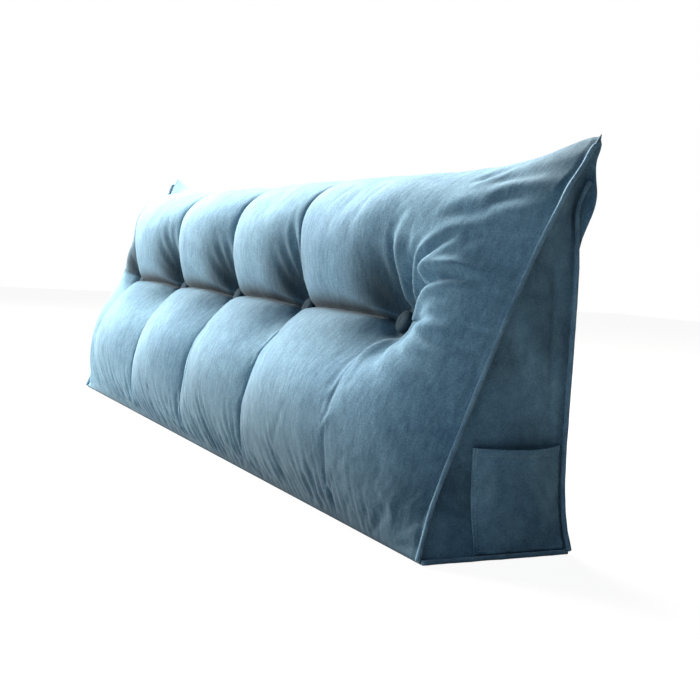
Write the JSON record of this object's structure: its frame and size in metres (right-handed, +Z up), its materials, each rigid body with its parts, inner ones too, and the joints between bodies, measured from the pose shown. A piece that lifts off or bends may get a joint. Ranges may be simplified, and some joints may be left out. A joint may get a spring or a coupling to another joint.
{
  "type": "backrest pillow",
  "caption": "Long wedge-shaped backrest pillow with a tufted leaning face, covered buttons, corded end seams and an open patch pocket on one end.",
  "frame": {"origin": "centre of the flat base, on the surface that the pillow stands on", "axes": "+X along the length towards the end with the pocket, the leaning face towards -Y, +Z up"},
  "size_m": [1.5128, 0.2455, 0.478],
  "materials": {
    "velvet": "short-pile velvet, soft sheen",
    "button_cloth": "short-pile velvet stretched over a button",
    "cord_cloth": "short-pile velvet over a thin cord",
    "pocket_cloth": "short-pile velvet, hemmed and stitched"
  },
  "bodies": {
    "root": {"cushion": "velvet", "button_1": "button_cloth", "button_2": "button_cloth", "button_3": "button_cloth", "button_4": "button_cloth", "button_5": "button_cloth", "welt_right_front": "cord_cloth", "welt_right_rear": "cord_cloth", "welt_right_base": "cord_cloth", "welt_left_front": "cord_cloth", "welt_left_rear": "cord_cloth", "welt_left_base": "cord_cloth", "pocket": "pocket_cloth"}
  },
  "joints": []
}
